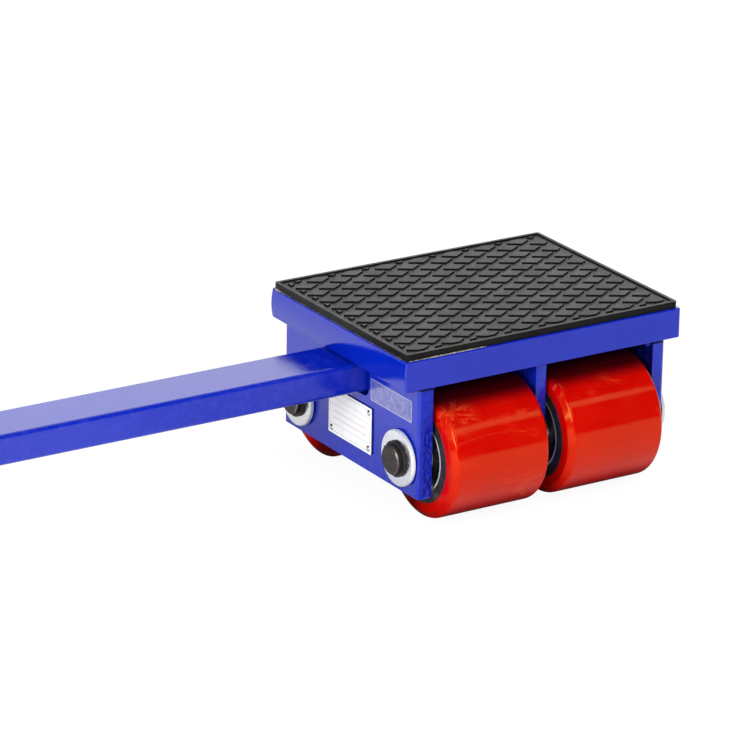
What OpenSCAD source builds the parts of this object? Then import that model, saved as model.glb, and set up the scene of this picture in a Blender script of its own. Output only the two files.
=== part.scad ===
// Low four-roller machine skate with an anti-slip load pad and a sliding tie bar.
// All sizes are in millimetres. The origin is on the floor, under the middle of the platform.
// +X runs along the axles, +Y points to the rear rollers and +Z is up.

/* [Top plate] */
// Length of the top plate, along the axles
plate_l = 210; // [196:1:240]
// Depth of the top plate, in the rolling direction
plate_d = 164; // [158:1:200]
// Thickness of the top plate
plate_t = 20; // [10:1:30]
// Radius of the top plate's upright corner edges
plate_corner_r = 1.5; // [0.5:0.25:5]

/* [Anti-slip pad] */
// Thickness of the pad over its rim and tiles
pad_t = 4.5; // [3:0.5:8]
// Set-back of the pad from the edges of the top plate
pad_inset = 1.75; // [0.5:0.25:6]
// Radius of the pad's upright corner edges
pad_corner_r = 2; // [0.5:0.5:4]
// Size of a lattice cell along the length of the pad
cell_l = 26.05; // [24:0.05:32]
// Size of a lattice cell along the depth of the pad
cell_d = 14.85; // [14:0.05:20]
// Shift of the lattice along the length of the pad, as the pad was cut from its sheet
lattice_x = 2.1; // [-6:0.1:6]
// Shift of the lattice along the depth of the pad
lattice_y = -3.8; // [-4:0.1:4]
// Long diagonal of a tile
tile_l = 17.2; // [12:0.1:20]
// Short diagonal of a tile
tile_d = 10.8; // [8:0.1:12]
// Height of the tiles and the rim above the sunken field between them
tile_h = 1; // [0.5:0.1:2]
// Width of the raised rim around the pad
pad_rim = 2.5; // [2:0.25:5]
// Gap between the raised rim and the cut-off tiles beside it
tile_gap = 3.3; // [0.5:0.1:5]

/* [Upright plates] */
// Overhang of the top plate past each side plate
overhang = 11; // [8:1:18]
// Thickness of the side plates
side_t = 10; // [8:0.5:12]
// Height of the side plates and the centre plate
side_h = 74; // [72:1:84]
// Radius of the side plates' outer upright edges
side_edge_r = 3.5; // [1:0.5:5]
// Thickness of the centre plate
centre_t = 8; // [6:0.5:12]
// Set-back of the centre plate's ends from the ends of the side plates
centre_inset = 3.8; // [1:0.2:8]
// Leg length of the fillet welds under the top plate
weld_leg = 4; // [3:0.5:6]
// Distance from the end of a weld to the end of its plate's face or to the bar opening
weld_end = 2.5; // [0.5:0.5:6]

/* [Rollers] */
// Diameter of the rollers over the tread
roller_d = 85; // [78:1:90]
// Distance between the two axles
axle_pitch = 123; // [116:1:126]
// Diameter of the steel hub under the tyre
hub_d = 64; // [58:1:68]
// Gap between a hub's end face and the plate beside it
hub_gap = 3; // [1.5:0.5:5]
// Distance by which each side of the tread stops short of the hub's end
tread_inset = 3.5; // [2:0.5:8]
// Distance by which the tyre's side face falls back from the hub's end towards the shoulder
cheek_inset = 0.3; // [0.1:0.1:1]
// Depth of the sloping shoulder below the tread
shoulder_depth = 4.5; // [3:0.5:6]
// Radius between the tread and the shoulder
shoulder_r = 2.5; // [0.5:0.1:3]
// Radius of the clear space inside the hub, between its bearings
hub_core_r = 20; // [18:0.5:21]
// Width of the bright chamfer at the mouth of a bearing seat
seat_chamfer = 1; // [0.5:0.25:1.4]

/* [Axles] */
// Diameter of the axles
axle_d = 20; // [17:1:20]
// Height of the axle centres above the lower edge of the side plates
axle_edge = 22.5; // [20:0.5:24]
// Chamfer at the ends of the axles
axle_chamfer = 1; // [0.5:0.25:2]
// Radial clearance of the axle holes in the plates
axle_clear = 0.3; // [0.1:0.1:0.6]
// End float of each axle between its washers and the side plates
axle_float = 0.4; // [0.2:0.1:2]
// Axle left past each retaining ring
clip_edge = 3.4; // [2:0.2:5]
// Thickness of the retaining rings
clip_t = 1.8; // [1:0.1:2.5]
// Depth of the retaining ring grooves
groove_depth = 0.5; // [0.3:0.1:1]
// Radial width of a retaining ring at its top
clip_w = 2.6; // [2:0.1:3.5]
// Outer diameter of the axle washers
washer_d = 37; // [32:1:42]
// Thickness of the axle washers
washer_t = 3.5; // [2:0.5:4]
// Radial clearance of the axle washers
washer_clear = 0.3; // [0.2:0.1:0.6]

/* [Bearings] */
// Outer diameter of the ball bearings
bearing_d = 47; // [46:1:50]
// Width of the ball bearings
bearing_w = 14; // [12:0.5:16]
// Depth at which a bearing sits inside the hub's end face
bearing_recess = 1.5; // [1.4:0.1:3]
// Diameter of the balls
ball_d = 7.9; // [6.8:0.1:8]
// Number of balls in a bearing
ball_count = 8; // [6:1:9]
// Thickness of the inner ring at its shoulders
inner_ring_t = 4.4; // [4:0.1:4.6]
// Thickness of the outer ring at its shoulders
outer_ring_t = 3.2; // [2.8:0.1:3.6]
// Thickness of the rubber seals
seal_t = 0.8; // [0.5:0.1:1]
// Depth at which a seal sits inside the bearing's face
seal_recess = 0.6; // [0.4:0.1:0.8]
// Radial thickness of the ball cages
cage_t = 2.6; // [2:0.1:3]
// Wall thickness of the sleeves and spacer rings on the axles
sleeve_t = 3.4; // [2.5:0.1:4]

/* [Tie bar] */
// Length of the tie bar
bar_l = 500; // [420:10:800]
// Width of the tie bar, in the rolling direction
bar_w = 40; // [30:1:44]
// Height of the tie bar
bar_h = 20; // [15:1:25]
// Wall thickness of the tie bar
bar_wall = 2; // [1.5:0.25:3]
// Outer corner radius of the tie bar
bar_corner_r = 2.6; // [2.1:0.1:4]
// Gap between the tie bar and the top plate
bar_top_gap = 0.8; // [0.4:0.1:1]
// Gap between the tie bar and each side of its openings
bar_side_gap = 2.2; // [0.3:0.1:3]
// Gap between the tie bar and the floor of its openings
bar_low_gap = 3.6; // [0.3:0.1:5]
// Corner radius at the floor of the bar openings
opening_r = 6; // [1:0.5:6]
// Diameter of the stop pins at the ends of the tie bar
pin_d = 6; // [4:0.5:8]
// Distance from a stop pin's centre to the end of the tie bar
pin_edge = 7; // [6:1:15]
// Length by which a stop pin stands out of the tie bar on each side
pin_proud = 6; // [4:0.5:7]
// Gap between a stop pin and the side plate that it stops against
stop_gap = 0.3; // [0.2:0.1:1]

/* [Plate and sticker] */
// Width of the rating plate
label_w = 52; // [40:1:56]
// Height of the rating plate
label_h = 31.5; // [24:0.5:36]
// Thickness of the rating plate
label_t = 1; // [0.5:0.1:2]
// Height of the rating plate's centre above the lower edge of the side plate
label_z = 28; // [20:0.5:30]
// Distance of the rating plate's centre in front of the side plate's middle
label_shift = 1.6; // [0:0.2:3]
// Distance of the rivets from the edges of the rating plate
rivet_inset = 3.6; // [3:0.1:6]
// Diameter of the rivet shanks
rivet_d = 2.4; // [2:0.2:3.2]
// Diameter of the rivet heads
rivet_head_d = 4.2; // [3.6:0.2:5]
// Height of the rivet heads
rivet_head_h = 0.9; // [0.5:0.1:1.5]
// Length of the rivet shanks inside the side plate
rivet_grip = 4; // [3:0.5:6]
// Width of the blank sticker
sticker_w = 48.5; // [30:0.5:56]
// Height of the blank sticker
sticker_h = 14.8; // [8:0.2:20]
// Thickness of the blank sticker
sticker_t = 0.3; // [0.2:0.05:0.5]
// Distance from the blank sticker to the front end of the side plate
sticker_margin = 8.7; // [6:0.1:12]
// Distance from the blank sticker's centre up to the top plate
sticker_drop = 17.3; // [16:0.1:22]

/* [Hidden] */
$fn = 96;
overcut = 1;
fit_gap = 0.03;
ball_gap = 0.05;
pocket_gap = 0.2;
seal_gap = 0.3;
side_play = 0.1;

paint = [0.16, 0.17, 0.68];
rubber = [0.27, 0.27, 0.26];
tyre_red = [0.86, 0.10, 0.03];
black_steel = [0.12, 0.12, 0.13];
bright_steel = [0.78, 0.79, 0.80];
zinc = [0.86, 0.87, 0.90];
white = [0.94, 0.95, 0.95];
milky = [0.66, 0.68, 0.88];

side_span = plate_l - 2 * overhang;
bay = (side_span - centre_t) / 2 - side_t;
bay_x = (centre_t + bay) / 2;

axle_r = axle_d / 2;
axle_z = roller_d / 2;
low_z = axle_z - axle_edge;
under_z = low_z + side_h;
top_z = under_z + plate_t;

pad_l = plate_l - 2 * pad_inset;
pad_d = plate_d - 2 * pad_inset;

roller_r = roller_d / 2;
hub_r = hub_d / 2;
hub_l = bay - 2 * hub_gap;
tread_l = hub_l - 2 * tread_inset;
shoulder_angle = atan2(shoulder_depth, tread_inset - cheek_inset);

bearing_r = bearing_d / 2;
bearing_x = hub_l / 2 - bearing_recess - bearing_w / 2;
inner_ring_r = axle_r + inner_ring_t;
outer_ring_r = bearing_r - outer_ring_t;
pitch_r = (inner_ring_r + outer_ring_r) / 2 - (inner_ring_t - outer_ring_t) / 2;
race_r = ball_d / 2 + ball_gap;
cage_w = 2 * (bearing_w / 2 - seal_recess - seal_t - 0.5);
spacer_l = hub_gap + bearing_recess - side_play;
sleeve_l = 2 * bearing_x - bearing_w;

clip_x = side_span / 2 + washer_t + axle_float / 2;
axle_l = 2 * (clip_x + clip_t + clip_edge);
groove_r = axle_r - groove_depth;

bar_top = under_z - bar_top_gap;
bar_z = bar_top - bar_h / 2;
opening_w = bar_w + 2 * bar_side_gap;
opening_z = bar_top - bar_h - bar_low_gap;
pin_x = side_span / 2 + stop_gap + pin_d / 2;
bar_end_x = pin_x + pin_edge;
far_pin_x = bar_end_x - bar_l + pin_edge;

// Name, side along X and side along Y of each roller
CORNERS = [
    ["front_left", -1, -1],
    ["front_right", 1, -1],
    ["rear_left", -1, 1],
    ["rear_right", 1, 1]
];
ROLLER_PARTS = [
    "tyre", "hub", "bearing_outer_rings", "bearing_seals",
    "bearing_balls", "bearing_cages", "bearing_inner_rings", "bearing_sleeve"
];

// Turns a solid made along Z so that it lies along X
module along_x() {
    rotate([0, 90, 0]) children();
}

// Extrudes an outline drawn in Y and Z by a length towards +X
module extrude_x(length) {
    rotate([90, 0, 90]) linear_extrude(height = length) children();
}

// Rectangle about the origin with true arcs at its corners
module rounded_rect(l, w, r) {
    square([l - 2 * r, w], center = true);
    square([l, w - 2 * r], center = true);
    for (sx = [-1, 1], sy = [-1, 1]) translate([sx * (l / 2 - r), sy * (w / 2 - r)]) circle(r = r);
}

// Closes a half outline, given as [radius, length] points, with its mirror image
function mirrored(points) = concat(
    points,
    [for (i = [len(points) - 1:-1:0]) [points[i][0], -points[i][1]]]
);

// Ring about Z between two radii
module ring(r_in, r_out, length) {
    difference() {
        cylinder(r = r_out, h = length, center = true);
        cylinder(r = r_in, h = length + 2 * overcut, center = true);
    }
}

module top_plate() {
    color(paint)
    translate([0, 0, under_z])
    linear_extrude(height = plate_t) rounded_rect(plate_l, plate_d, plate_corner_r);
}

// Plan of a side plate, its outer face at x = side_t
module side_plan() {
    translate([0, -plate_d / 2]) square([side_t - side_edge_r, plate_d]);
    translate([0, side_edge_r - plate_d / 2]) square([side_t, plate_d - 2 * side_edge_r]);
    for (s = [-1, 1]) translate([side_t - side_edge_r, s * (plate_d / 2 - side_edge_r)]) circle(r = side_edge_r);
}

// Opening that the tie bar slides through, closed above by the top plate
module bar_opening() {
    over_top = under_z - opening_z + overcut;
    translate([-opening_w / 2, opening_z + opening_r]) square([opening_w, over_top - opening_r]);
    translate([opening_r - opening_w / 2, opening_z]) square([opening_w - 2 * opening_r, over_top]);
    for (s = [-1, 1]) translate([s * (opening_w / 2 - opening_r), opening_z + opening_r]) circle(r = opening_r);
}

// Cuts for the tie bar and the two axles, through a plate between two places on X
module plate_cuts(x_from, x_to) {
    translate([x_from - overcut, 0, 0]) extrude_x(x_to - x_from + 2 * overcut) {
        bar_opening();
        for (s = [-1, 1]) translate([s * axle_pitch / 2, axle_z]) circle(r = axle_r + axle_clear);
    }
}

// Places children on the centres of the rating plate's rivets, on the left side plate's outer face
module at_rivets() {
    for (sy = [-1, 1], sz = [-1, 1])
        translate([
            -side_span / 2,
            sy * (label_w / 2 - rivet_inset) - label_shift,
            low_z + label_z + sz * (label_h / 2 - rivet_inset)
        ]) children();
}

module left_side_plate() {
    color(paint)
    difference() {
        translate([side_t - side_span / 2, 0, low_z])
            mirror([1, 0, 0]) linear_extrude(height = side_h) side_plan();
        plate_cuts(-side_span / 2, side_t - side_span / 2);
        at_rivets() along_x() cylinder(d = rivet_d + 2 * fit_gap, h = 2 * (rivet_grip + fit_gap), center = true);
    }
}

module right_side_plate() {
    color(paint)
    difference() {
        translate([side_span / 2 - side_t, 0, low_z]) linear_extrude(height = side_h) side_plan();
        plate_cuts(side_span / 2 - side_t, side_span / 2);
    }
}

module centre_plate() {
    centre_d = plate_d - 2 * centre_inset;
    color(paint)
    difference() {
        translate([-centre_t / 2, -centre_d / 2, low_z]) cube([centre_t, centre_d, side_h]);
        plate_cuts(-centre_t / 2, centre_t / 2);
    }
}

// Two fillet welds along Y in the corner at x, facing towards +X or -X, on a face that ends at face_y
module weld_pair(x, facing, face_y) {
    from_y = opening_w / 2 + weld_end;
    to_y = face_y - weld_end;
    crown = 0.58 * weld_leg;
    for (s = [-1, 1])
        translate([x, s * (from_y + to_y) / 2, under_z])
        rotate([90, 0, 0])
        linear_extrude(height = to_y - from_y, center = true)
        polygon([[0, 0], [facing * weld_leg, 0], [facing * crown, -crown], [0, -weld_leg]]);
}

module weld_beads() {
    color(paint)
    for (s = [-1, 1]) {
        weld_pair(s * side_span / 2, s, plate_d / 2 - side_edge_r);
        weld_pair(s * (side_span / 2 - side_t), -s, plate_d / 2);
        weld_pair(s * centre_t / 2, s, plate_d / 2 - centre_inset);
    }
}

// Diamond tiles of the whole lattice, cut off beside the pad's rim
module tile_outlines() {
    half_l = tile_l / 2;
    half_d = tile_d / 2;
    cut_off = 2 * (pad_rim + tile_gap);
    cols = ceil(pad_l / cell_l) + 1;
    rows = ceil(pad_d / cell_d) + 1;
    intersection() {
        square([pad_l - cut_off, pad_d - cut_off], center = true);
        for (i = [-cols:cols], j = [-rows:rows])
            if ((i + j) % 2 == 0)
                translate([lattice_x + i * cell_l / 2, lattice_y + j * cell_d / 2])
                    polygon([[half_l, 0], [0, half_d], [-half_l, 0], [0, -half_d]]);
    }
}

module anti_slip_pad() {
    field_t = pad_t - tile_h;
    color(rubber)
    translate([0, 0, top_z])
    union() {
        linear_extrude(height = field_t) rounded_rect(pad_l, pad_d, pad_corner_r);
        translate([0, 0, field_t]) linear_extrude(height = tile_h) {
            difference() {
                rounded_rect(pad_l, pad_d, pad_corner_r);
                square([pad_l - 2 * pad_rim, pad_d - 2 * pad_rim], center = true);
            }
            tile_outlines();
        }
    }
}

// Half outline of an axle, with a retaining ring groove near its end
module axle_outline() {
    half_l = axle_l / 2;
    groove_w = clip_t + 2 * fit_gap;
    groove_from = clip_x - fit_gap;
    polygon(mirrored([
        [axle_r, groove_from],
        [groove_r, groove_from],
        [groove_r, groove_from + groove_w],
        [axle_r, groove_from + groove_w],
        [axle_r, half_l - axle_chamfer],
        [axle_r - axle_chamfer, half_l],
        [0, half_l]
    ]));
}

// One axle, with its side along Y
module axle(side) {
    color(black_steel)
    translate([0, side * axle_pitch / 2, axle_z])
    along_x() rotate_extrude() axle_outline();
}

// Washers between the side plates and the retaining rings
module axle_washers() {
    reach = side_span / 2 + washer_t / 2 + axle_float / 4;
    color(zinc)
    for (sx = [-1, 1], sy = [-1, 1])
        translate([sx * reach, sy * axle_pitch / 2, axle_z])
        along_x() ring(axle_r + washer_clear, washer_d / 2, washer_t);
}

// Retaining ring outline with its two drilled lugs pointing down
module circlip_outline() {
    lug_r = clip_w * 0.65;
    lug_reach = groove_r + clip_w * 0.6;
    lug_angle = 20;
    difference() {
        union() {
            translate([0, clip_w * 0.1]) circle(r = groove_r + clip_w * 0.9);
            for (s = [-1, 1]) rotate(s * lug_angle) translate([0, -lug_reach]) circle(r = lug_r);
        }
        circle(r = groove_r + fit_gap);
        polygon([[0, 0], for (s = [-1, 1]) 3 * axle_r * [s * sin(lug_angle / 2), -cos(lug_angle / 2)]]);
        for (s = [-1, 1]) rotate(s * lug_angle) translate([0, -lug_reach]) circle(r = clip_w * 0.35);
    }
}

// Retaining rings, turned so that their lugs point to the rear
module axle_circlips() {
    color(black_steel)
    for (sx = [-1, 1], sy = [-1, 1])
        translate([sx * (clip_x + clip_t / 2) - clip_t / 2, sy * axle_pitch / 2, axle_z])
        extrude_x(clip_t) rotate(90) circlip_outline();
}

// Spacer rings between each bearing's inner ring and the plate beside it
module axle_spacers() {
    reach = bearing_x + bearing_w / 2 + spacer_l / 2;
    color(zinc)
    for (c = CORNERS, s = [-1, 1])
        translate([c[1] * bay_x + s * reach, c[2] * axle_pitch / 2, axle_z])
        along_x() ring(axle_r + fit_gap, axle_r + sleeve_t, spacer_l);
}

module rating_plate() {
    color(white)
    difference() {
        translate([-side_span / 2 - label_t, -label_shift, low_z + label_z])
            extrude_x(label_t) rounded_rect(label_w, label_h, 1);
        at_rivets() along_x() cylinder(d = rivet_d + 2 * fit_gap, h = 2 * (label_t + overcut), center = true);
    }
}

// Half outline of a rivet: its shank along +Y and a domed head below the origin
module rivet_outline() {
    dome_r = (pow(rivet_head_d / 2, 2) + pow(rivet_head_h, 2)) / (2 * rivet_head_h);
    square([rivet_d / 2, label_t + rivet_grip]);
    intersection() {
        translate([0, dome_r - rivet_head_h]) circle(r = dome_r);
        translate([0, -rivet_head_h]) square([rivet_head_d / 2, rivet_head_h]);
    }
}

module rating_plate_rivets() {
    color(bright_steel)
    at_rivets() translate([-label_t, 0, 0]) along_x() rotate_extrude() rivet_outline();
}

module blank_sticker() {
    color(milky)
    translate([
        -side_span / 2 - sticker_t,
        sticker_margin + (sticker_w - plate_d) / 2,
        under_z - sticker_drop
    ])
    extrude_x(sticker_t) rounded_rect(sticker_w, sticker_h, 1);
}

// Places children at the two ends of the tie bar, on the axes of its stop pins
module at_bar_pins() {
    for (x = [pin_x, far_pin_x]) translate([x, 0, bar_z]) rotate([90, 0, 0]) children();
}

module tie_bar() {
    color(paint)
    difference() {
        translate([bar_end_x - bar_l, 0, bar_z]) extrude_x(bar_l) rounded_rect(bar_w, bar_h, bar_corner_r);
        translate([bar_end_x - bar_l - overcut, 0, bar_z]) extrude_x(bar_l + 2 * overcut)
            rounded_rect(bar_w - 2 * bar_wall, bar_h - 2 * bar_wall, bar_corner_r / 2);
        at_bar_pins() cylinder(d = pin_d + 2 * fit_gap, h = bar_w + 2 * overcut, center = true);
    }
}

module bar_stop_pins() {
    color(bright_steel)
    at_bar_pins() cylinder(d = pin_d, h = bar_w + 2 * pin_proud, center = true);
}

// Moves a solid made along Z to the middle of a roller, along X
module at_roller(c) {
    translate([c[1] * bay_x, c[2] * axle_pitch / 2, axle_z]) along_x() children();
}

// Repeats a solid at both bearings of a roller
module at_bearings() {
    for (s = [-1, 1]) translate([0, 0, s * bearing_x]) children();
}

// Section of a tyre, with rounded sloping shoulders and nearly flat side faces
module tyre_outline() {
    round_from = tread_l / 2 - shoulder_r * tan(shoulder_angle / 2);
    polygon(mirrored(concat(
        [for (k = [0:5]) [
            roller_r - shoulder_r * (1 - cos(k * shoulder_angle / 5)),
            round_from + shoulder_r * sin(k * shoulder_angle / 5)
        ]],
        [[roller_r - shoulder_depth, hub_l / 2 - cheek_inset]],
        [[hub_r, hub_l / 2]]
    )));
}

module tyre() {
    color(tyre_red)
    rotate_extrude() tyre_outline();
}

// Section of a hub, with a bearing seat and its chamfered mouth at each end
module hub_outline() {
    seat_r = bearing_r + fit_gap;
    seat_from = bearing_x - bearing_w / 2;
    polygon(mirrored([
        [hub_r, hub_l / 2],
        [seat_r + seat_chamfer, hub_l / 2],
        [seat_r, hub_l / 2 - seat_chamfer],
        [seat_r, seat_from],
        [hub_core_r, seat_from]
    ]));
}

module hub() {
    color(black_steel)
    rotate_extrude() hub_outline();
}

// Section of a bearing ring between two radii, with the ball race cut into it
module ring_outline(r_in, r_out) {
    difference() {
        translate([r_in, -bearing_w / 2]) square([r_out - r_in, bearing_w]);
        translate([pitch_r, 0]) circle(r = race_r);
    }
}

module bearing_outer_rings() {
    color(bright_steel)
    at_bearings() rotate_extrude() ring_outline(outer_ring_r, bearing_r);
}

module bearing_inner_rings() {
    color(bright_steel)
    at_bearings() rotate_extrude() ring_outline(axle_r + fit_gap, inner_ring_r);
}

module bearing_seals() {
    color(black_steel)
    at_bearings()
    for (s = [-1, 1])
        translate([0, 0, s * (bearing_w / 2 - seal_recess - seal_t / 2)])
        ring(inner_ring_r + seal_gap, outer_ring_r - fit_gap, seal_t);
}

// Places children on the centres of a bearing's balls
module at_balls() {
    for (i = [0:ball_count - 1]) rotate(i * 360 / ball_count) translate([pitch_r, 0, 0]) children();
}

module bearing_balls() {
    color(bright_steel)
    at_bearings() at_balls() sphere(d = ball_d);
}

module bearing_cages() {
    color(zinc)
    at_bearings()
    difference() {
        ring(pitch_r - cage_t / 2, pitch_r + cage_t / 2, cage_w);
        at_balls() along_x() cylinder(d = ball_d + 2 * pocket_gap, h = 2 * cage_t, center = true);
    }
}

module bearing_sleeve() {
    color(zinc)
    ring(axle_r + fit_gap, axle_r + sleeve_t, sleeve_l);
}

top_plate();
left_side_plate();
right_side_plate();
centre_plate();
weld_beads();
anti_slip_pad();
axle(-1);  // front_axle
axle(1);  // rear_axle
axle_washers();
axle_circlips();
axle_spacers();
rating_plate();
rating_plate_rivets();
blank_sticker();
tie_bar();
bar_stop_pins();
for (c = CORNERS) {
    at_roller(c) tyre();
    at_roller(c) hub();
    at_roller(c) bearing_outer_rings();
    at_roller(c) bearing_seals();
    at_roller(c) bearing_balls();
    at_roller(c) bearing_cages();
    at_roller(c) bearing_inner_rings();
    at_roller(c) bearing_sleeve();
}
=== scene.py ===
"""Looks of the machine skate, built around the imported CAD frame. Metres; the origin is on the floor."""
from math import cos, hypot, pi, radians, sin, sqrt, tan

import bmesh
import bpy
from mathutils import Matrix, Vector, noise


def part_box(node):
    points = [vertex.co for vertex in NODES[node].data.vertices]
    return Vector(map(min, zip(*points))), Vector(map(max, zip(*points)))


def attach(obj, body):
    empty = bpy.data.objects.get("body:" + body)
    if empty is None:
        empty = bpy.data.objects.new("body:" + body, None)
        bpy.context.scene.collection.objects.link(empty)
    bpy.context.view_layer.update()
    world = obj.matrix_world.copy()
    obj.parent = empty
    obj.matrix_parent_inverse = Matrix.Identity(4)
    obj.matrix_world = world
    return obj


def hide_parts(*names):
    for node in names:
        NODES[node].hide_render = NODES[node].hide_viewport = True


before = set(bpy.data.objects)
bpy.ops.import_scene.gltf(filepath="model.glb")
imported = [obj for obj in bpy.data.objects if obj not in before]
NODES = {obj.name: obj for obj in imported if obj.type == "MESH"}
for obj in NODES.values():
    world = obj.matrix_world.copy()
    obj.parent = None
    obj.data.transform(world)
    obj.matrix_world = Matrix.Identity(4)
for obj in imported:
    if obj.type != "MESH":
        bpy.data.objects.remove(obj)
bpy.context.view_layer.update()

MM = 0.001
X, Y, Z = range(3)
SCENE = bpy.context.scene
CORNERS = ("front_left", "front_right", "rear_left", "rear_right")


# Node materials


def rgb(r, g, b):
    return (r, g, b, 1.0)


def grey(level):
    return rgb(level, level, level)


class Nodes:
    """The node tree of a material or a world, filled with short calls."""

    def __init__(self, owner):
        owner.use_nodes = True
        self.tree = owner.node_tree

    def add(self, kind, inputs=(), **settings):
        node = self.tree.nodes.new(kind)
        for key, value in settings.items():
            setattr(node, key, value)
        for key, value in dict(inputs).items():
            self.feed(node.inputs[key], value)
        return node

    def feed(self, socket, value):
        if isinstance(value, bpy.types.NodeSocket):
            self.tree.links.new(value, socket)
        else:
            socket.default_value = value

    def math(self, operation, *values):
        return self.add("ShaderNodeMath", dict(enumerate(values)), operation=operation).outputs[0]

    def ramp(self, value, low, high, to_low=0.0, to_high=1.0):
        return self.add(
            "ShaderNodeMapRange",
            {"Value": value, "From Min": low, "From Max": high, "To Min": to_low, "To Max": to_high},
            interpolation_type="SMOOTHSTEP",
        ).outputs[0]

    def mix(self, fac, a, b):
        return self.add("ShaderNodeMix", {0: fac, 6: a, 7: b}, data_type="RGBA").outputs[2]

    def split(self, vector):
        return self.add("ShaderNodeSeparateXYZ", {0: vector}).outputs


class Look(Nodes):
    """A material around one Principled shader."""

    def __init__(self, name):
        self.material = bpy.data.materials.new(name)
        super().__init__(self.material)
        self.shader = self.tree.nodes["Principled BSDF"]
        self.place = self.add("ShaderNodeTexCoord").outputs["Object"]

    def set(self, **inputs):
        for key, value in inputs.items():
            self.feed(self.shader.inputs[key.replace("_", " ")], value)

    def noise(self, scale, detail=2.0, rough=0.5, distortion=0.0, stretch=None):
        place = self.place
        if stretch:
            place = self.add("ShaderNodeMapping", {"Vector": place, "Scale": stretch}).outputs[0]
        inputs = {"Vector": place, "Scale": scale, "Detail": detail, "Roughness": rough}
        return self.add("ShaderNodeTexNoise", {**inputs, "Distortion": distortion}).outputs["Fac"]

    def attribute(self, name):
        return self.add("ShaderNodeAttribute", attribute_name=name).outputs["Fac"]

    def bump(self, *layers):
        """Layers are (height socket, strength, distance in metres), the coarsest first."""
        normal = None
        for height, strength, distance in layers:
            inputs = {"Height": height, "Strength": strength, "Distance": distance}
            if normal:
                inputs["Normal"] = normal
            normal = self.add("ShaderNodeBump", inputs).outputs["Normal"]
        self.feed(self.shader.inputs["Normal"], normal)
        return self


# Places that materials are painted by, in metres
BURNT_FULL, BURNT_END = 0.070, 0.080               # heights over which the pits of the cut ends fade out
TYRE_SHADE_FROM, TYRE_SHADE_FULL = 0.0755, 0.0825    # heights over which painted shade under the top plate darkens the tyres
TYRE_SIDE_SHADE_FULL, TYRE_SIDE_SHADE_END = 0.052, 0.077     # distances from y = 0 over which the painted shade on their sides ends
RUBBED_SPOT = (-0.070, -0.087, 0.075)              # pale spot on the front left tyre
RUBBED_INNER, RUBBED_OUTER = 0.005, 0.019          # radii over which it fades out


def blue_paint(name, tone, gloss, pits=0.0):
    """Glossy enamel with faint orange peel and clouding, rubbed at its edges and pitted on request."""
    m = Look(name)
    cloud = m.ramp(m.noise(9, 3), 0.3, 0.7)
    speck = m.ramp(m.noise(1500, 1), 0.70, 0.80)
    deep = rgb(0.0008, 0.0140 * tone, 0.39 * tone)
    bright = rgb(0.0014, 0.0175 * tone, 0.44 * tone)
    colour = m.mix(cloud, deep, bright)
    colour = m.mix(m.math("MULTIPLY", speck, 0.06), colour, rgb(0.04, 0.05, 0.60))
    rubbed = m.math("MULTIPLY", m.attribute("wear"), m.ramp(m.noise(220, 4, 0.7), 0.46, 0.66))
    colour = m.mix(m.math("MULTIPLY", rubbed, 0.35), colour, rgb(0.03, 0.04, 0.58))
    if pits:
        pit = m.ramp(m.noise(750, 3, 0.6, stretch=(1, 1, 0.6)), 0.54, 0.64)
        burnt = m.ramp(m.split(m.place)["Z"], BURNT_FULL, BURNT_END, pits, 0.0)
        colour = m.mix(m.math("MULTIPLY", pit, burnt), colour, rgb(0.0004, 0.004, 0.11))
    rough = m.ramp(m.noise(45, 4, 0.6), 0.25, 0.75, 0.03, 0.045)
    rough = m.math("MULTIPLY_ADD", rubbed, 0.12, rough)
    m.set(Base_Color=colour, Roughness=rough, IOR=1.5, Specular_IOR_Level=gloss)
    return m.bump(
        (m.noise(85, 2), 0.4, 0.0002),
        (m.noise(900, 2, 0.6), 1.0, 0.00007),
    ).material


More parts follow.
